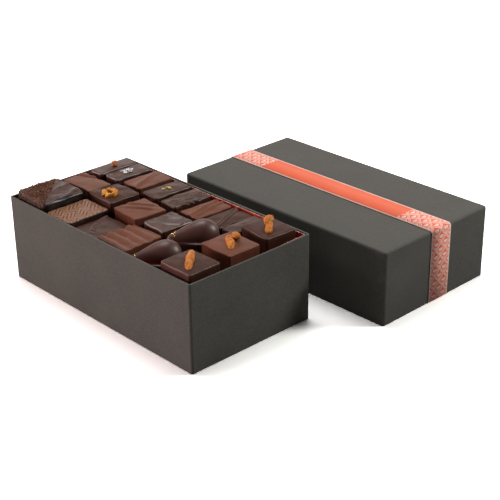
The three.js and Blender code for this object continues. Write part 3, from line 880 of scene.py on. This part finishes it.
white = blend_colours(tree, frost, (0.72, 0.72, 0.72, 1), (0.95, 0.95, 0.94, 1))
dress(tree, shader, white, spread(tree, frost, 0.3, 0.7, 0.2, 0.5), frost, 0.05 * MM, 0.5)
set_down("salt_flakes", bm, finish)

# The gold leaf, in flecks on the tails of the beans: each patch's bean, place, count and reach.
random.seed(3)
bm = bmesh.new()
SPECKS = [
    ("bean_middle", 31.6, -12.2, 24, 2.0), ("bean_middle", 34.6, -13.8, 4, 1.4),
    ("bean_near", 31.2, -41.6, 14, 1.8),
]
for name, x, y, count, reach in SPECKS:
    for _ in range(count):
        point, normal = surface(name, x + random.uniform(-1, 1) * reach, y + random.uniform(-1, 1) * reach)
        if point:
            size = random.uniform(0.35, 0.95)
            chip(bm, point, normal, (size, size * 0.7, 0.24), 1, 0, 0.5)
finish, tree, shader, where = new_finish("gold_leaf", Metallic=1.0)
leaf = speckle(tree, where, 0.4 * MM, 2)
gold = blend_colours(tree, leaf, (0.72, 0.42, 0.12, 1), (0.98, 0.74, 0.34, 1))
dress(tree, shader, gold, spread(tree, leaf, 0.3, 0.7, 0.22, 0.42))
set_down("gold_flecks", bm, finish)

# The crumbs: most are dark cocoa, and some are golden praline. They lie on the near flank and on the top, up
# to the line from the far left corner to the near right one, and more thinly in the near left corner. Each
# kind: name, count, least and greatest size, its deep and its fair colour.
ON_FLANK = 6
THINNED = 0.35
CRUMBS = [
    ("cocoa_crumbs", 620, (0.5, 1.25), (0.060, 0.020, 0.011, 1), (0.165, 0.060, 0.028, 1)),
    ("praline_crumbs", 100, (0.4, 0.95), (0.26, 0.085, 0.028, 1), (0.54, 0.22, 0.075, 1)),
]
for name, count, (least, most), deep, fair in CRUMBS:
    bm = bmesh.new()
    for _ in range(count // ON_FLANK):
        x = SLAB_AT[0] + half_x * random.uniform(-0.85, 0.8)
        z = RIM + random.uniform(-1.5, 3.6) * MM
        point, normal, _, _ = tops["crumb_slab"].ray_cast(Vector((x * MM, -RAY_START, z)), Vector((0, 1, 0)))
        size = random.uniform(least, most)
        chip(bm, point, normal, (size, size * 0.8, size * 0.5), 1, 0.35, 0.35)
    left = count
    while left:
        u, v = random.uniform(-0.97, 0.97), random.uniform(-0.99, 0.97)
        edge = u + v + 0.16 * noise.noise(Vector((4 * u, 4 * v, 2)))
        thin = THINNED if u < -0.2 and v < -0.45 else 1
        if edge > 0.02 or random.random() > thin:
            continue
        point, normal = surface("crumb_slab", SLAB_AT[0] + half_x * u, SLAB_AT[1] + half_y * v)
        if point:
            size = random.uniform(least, most)
            wide, high = size * random.uniform(0.55, 1), size * random.uniform(0.45, 0.8)
            chip(bm, point, normal, (size, wide, high), 1, 0.35, 0.35)
            left -= 1
    finish, tree, shader, where = new_finish(name, 0.25)
    tone = speckle(tree, where, 1.3 * MM, 2)
    mixed = blend_colours(tree, spread(tree, tone, 0.35, 0.65), deep, fair)
    grit = speckle(tree, where, 0.25 * MM)
    dress(tree, shader, mixed, spread(tree, tone, 0.3, 0.7, 0.6, 0.85), grit, 0.05 * MM, 0.5)
    set_down(name, bm, finish)

# ---- The lid
# The lid is made like the tray and a little larger, and lies mouth down on the table.
LID_CARD = 1.7 * MM
LID_TURN = math.radians(0.5)
LID_SIZE = Vector((184, 102, 50.7)) * MM
LID_CORNER = 2.0 * MM
LID_CREASE = 1.5 * MM

low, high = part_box("lid")
lid_middle = Vector(((low.x + high.x) / 2, (low.y + high.y) / 2, 0))
bm = card_shell(*LID_SIZE, LID_CARD, LID_CORNER, LID_CREASE)
turn_over = Matrix.Translation((0, 0, LID_SIZE.z)) @ Matrix.Rotation(math.pi, 4, "X")
lid_place = Matrix.Translation(lid_middle) @ Matrix.Rotation(LID_TURN, 4, "Z")
bmesh.ops.transform(bm, matrix=lid_place @ turn_over, verts=bm.verts)
set_down("card_lid", bm, charcoal_card, "lid")

# ---- The paper band
# A band of coral paper with pale borders is glued over the lid and down both of its ends. The middle is
# plain, and a print of pale arcs in rows covers it near both ends.
BAND_WIDTH = 19 * MM
BAND_AT = 2.5 * MM
BAND_FOOT = 0.4 * MM
BAND_LIFT = 0.3 * MM
BAND_PAPER = 0.3 * MM
BAND_BEND = 1.9 * MM
BEND_ANGLES = (0.26, 0.52, 0.79, 1.05, 1.31)
FLAT_REACH, FLAT_STEP = 88, 4

bm = bmesh.new()
half, top = LID_SIZE.x / 2 + BAND_LIFT, LID_SIZE.z + BAND_LIFT
end = [(-half, BAND_FOOT), (-half, top - BAND_BEND)]
for angle in BEND_ANGLES:
    end.append((-half + BAND_BEND * (1 - math.cos(angle)), top - BAND_BEND * (1 - math.sin(angle))))
end.append((-half + BAND_BEND, top))
flat = [(x * MM, top) for x in range(-FLAT_REACH, FLAT_REACH + 1, FLAT_STEP)]
path = end + flat + [(-x, z) for x, z in reversed(end)]
edge_verts = [bm.verts.new((x, BAND_AT - BAND_WIDTH / 2, z)) for x, z in path]
for one, two in zip(edge_verts, edge_verts[1:]):
    bm.edges.new((one, two))
swept = bmesh.ops.extrude_edge_only(bm, edges=bm.edges[:])["geom"]
swept_verts = [part for part in swept if isinstance(part, bmesh.types.BMVert)]
bmesh.ops.translate(bm, vec=(0, BAND_WIDTH, 0), verts=swept_verts)
unrolled = [0.0]
for (x0, z0), (x1, z1) in zip(path, path[1:]):
    unrolled.append(unrolled[-1] + math.hypot(x1 - x0, z1 - z0))
reach = {(round(x / MM, 3), round(z / MM, 3)): s - unrolled[-1] / 2 for (x, z), s in zip(path, unrolled)}
laid = bm.loops.layers.uv.new("laid_flat")
for face in bm.faces:
    for loop in face.loops:
        co = loop.vert.co
        loop[laid].uv = (reach[(round(co.x / MM, 3), round(co.z / MM, 3))] / MM, (co.y - BAND_AT) / MM)
bmesh.ops.recalc_face_normals(bm, faces=bm.faces)
if max(bm.faces, key=lambda face: face.calc_center_median().z).normal.z < 0:
    bmesh.ops.reverse_faces(bm, faces=bm.faces)
for face in bm.faces:
    face.smooth = True
bmesh.ops.transform(bm, matrix=lid_place, verts=bm.verts)

finish, tree, shader, where = new_finish("band_print", 0.15)
laid_flat = put(tree, "UVMap", {"uv_map": "laid_flat"}).outputs[0]
laid_spot = put(tree, "SeparateXYZ", Vector=laid_flat).outputs

# The print, in millimetres on the band laid flat.
SCALE_WIDE = 9.2
EDGE_LINE = (4.25, 0.3)
INNER_LINE = (3.3, 0.22)
HEART = 2.2
PRINT_FROM = 62
BORDER = (8.55, 8.75)


def ring(tree, radius, middle, half_width):
    """A line at one radius."""
    made = reckon(tree, "COMPARE", radius, middle)
    made.node.inputs[2].default_value = half_width
    return made


def scales(tree, along, across, shift):
    """Rows of scales, each with two lines and a pale heart: the print, and what the scales cover."""
    cell_x = reckon(tree, "FLOORED_MODULO", plus(tree, across, shift), SCALE_WIDE)
    cell_x = reckon(tree, "SUBTRACT", cell_x, SCALE_WIDE / 2)
    cell_y = reckon(tree, "FLOORED_MODULO", plus(tree, along, shift), SCALE_WIDE)
    radius = reckon(tree, "SQRT", plus(tree, times(tree, cell_x, cell_x), times(tree, cell_y, cell_y)))
    inside = reckon(tree, "LESS_THAN", radius, SCALE_WIDE / 2)
    lines = reckon(tree, "MAXIMUM", ring(tree, radius, *EDGE_LINE), ring(tree, radius, *INNER_LINE))
    marks = reckon(tree, "MAXIMUM", lines, reckon(tree, "LESS_THAN", radius, HEART))
    return times(tree, marks, inside), inside


print_one, in_one = scales(tree, laid_spot["X"], laid_spot["Y"], 0)
print_two = scales(tree, laid_spot["X"], laid_spot["Y"], SCALE_WIDE / 2)[0]
print_lines = reckon(tree, "MAXIMUM", print_one, times(tree, print_two, reckon(tree, "SUBTRACT", 1, in_one)))
printed_part = reckon(tree, "GREATER_THAN", reckon(tree, "ABSOLUTE", laid_spot["X"], 0), PRINT_FROM)
border = spread(tree, reckon(tree, "ABSOLUTE", laid_spot["Y"], 0), *BORDER)
marks = reckon(tree, "MAXIMUM", times(tree, print_lines, printed_part), border)
clouds = speckle(tree, where, 12 * MM, 2)
coral = blend_colours(tree, clouds, (0.73, 0.138, 0.068, 1), (0.81, 0.164, 0.084, 1))
inked = blend_colours(tree, times(tree, marks, 0.85), coral, (0.84, 0.66, 0.60, 1))
matt = spread(tree, speckle(tree, where, 1.2 * MM, 3), 0.3, 0.7, 0.5, 0.62)
dress(tree, shader, inked, matt, speckle(tree, where, 0.4 * MM, 3), 0.03 * MM, 0.5)
band = set_down("paper_band", bm, finish, "band")
paper = band.modifiers.new("paper", "SOLIDIFY")
paper.thickness = BAND_PAPER
paper.offset = 1

# ---- The floor, the light and the camera
# White studio: a pale floor, a surround that glows from behind the box, a softbox overhead, two on the left
# and one on the right, and the camera where the photograph was taken from.
FLOOR_REACH = 6
bm = bmesh.new()
bmesh.ops.create_grid(bm, x_segments=2, y_segments=2, size=FLOOR_REACH)
mesh = bpy.data.meshes.new("studio_floor")
bm.to_mesh(mesh)
bm.free()
floor = bpy.data.objects.new("studio_floor", mesh)
bpy.context.scene.collection.objects.link(floor)
finish, tree, shader, where = new_finish("white_floor", 0.1, Roughness=0.9)
seen = tree.nodes.new("ShaderNodeLightPath").outputs["Is Camera Ray"]
tree.links.new(blend_colours(tree, seen, (0.42, 0.42, 0.41, 1), (1.9, 1.9, 1.9, 1)), shader["Base Color"])
mesh.materials.append(finish)

world = bpy.data.worlds.new("white_surround")
bpy.context.scene.world = world
world.use_nodes = True
tree = world.node_tree
way = put(tree, "SeparateXYZ", Vector=tree.nodes.new("ShaderNodeTexCoord").outputs["Generated"]).outputs
facing = plus(tree, times(tree, way["X"], -0.65), times(tree, way["Y"], 0.76))
behind = times(tree, spread(tree, facing, 0.25, 0.95), spread(tree, way["Z"], 0.3, 0.55, 1, 0.25))
around = blend_colours(tree, behind, (0.08, 0.08, 0.08, 1), (1.27, 1.14, 1.08, 1))
seen = tree.nodes.new("ShaderNodeLightPath").outputs["Is Camera Ray"]
tree.links.new(blend_colours(tree, seen, around, (1, 1, 1, 1)), tree.nodes["Background"].inputs["Color"])

LIT_MIDDLE = Vector((0.02, 0.05, 0.03))


def soft_light(name, place, wide, high, watts, colour):
    """An oval softbox aimed at the middle of the box and its lid: its place, width, height and power."""
    lamp = bpy.data.lights.new(name, "AREA")
    lamp.shape = "ELLIPSE"
    lamp.size = wide
    lamp.size_y = high
    lamp.energy = watts
    lamp.color = colour
    holder = bpy.data.objects.new(name, lamp)
    aim = LIT_MIDDLE - Vector(place)
    holder.matrix_world = Matrix.Translation(place) @ aim.to_track_quat("-Z", "Y").to_matrix().to_4x4()
    bpy.context.scene.collection.objects.link(holder)


soft_light("overhead", (-0.3, 0.2, 1.2), 0.8, 0.8, 9, (1, 0.99, 0.97))
soft_light("low_left", (-0.75, -1.05, 0.2), 1.3, 0.3, 15.8, (1, 0.80, 0.78))
soft_light("left", (-0.79, -0.52, 0.74), 0.24, 0.24, 2.6, (1, 0.86, 0.84))
soft_light("right", (0.71, 0.78, 0.68), 0.24, 0.24, 7.6, (1, 1, 0.95))

CAMERA_AT = Vector((0.56867, -0.45095, 0.38177))
YAW, PITCH_DOWN, ROLL = math.radians(136.8158), math.radians(25.7410), math.radians(-0.6584)
LENS, SENSOR = 89.79, 36
forward = Vector((
    math.cos(PITCH_DOWN) * math.cos(YAW), math.cos(PITCH_DOWN) * math.sin(YAW), -math.sin(PITCH_DOWN),
))
level = Vector((math.sin(YAW), -math.cos(YAW), 0))
upright = level.cross(forward)
right = level * math.cos(ROLL) + upright * math.sin(ROLL)
over = upright * math.cos(ROLL) - level * math.sin(ROLL)
lens = bpy.data.cameras.new("camera")
lens.lens = LENS
lens.sensor_width = SENSOR
lens.clip_start = 0.02
camera = bpy.data.objects.new("camera", lens)
turned = Matrix((right, over, -forward)).transposed().to_4x4()
camera.matrix_world = Matrix.Translation(CAMERA_AT) @ turned
bpy.context.scene.collection.objects.link(camera)
bpy.context.scene.camera = camera
bpy.context.scene.view_settings.view_transform = "Standard"
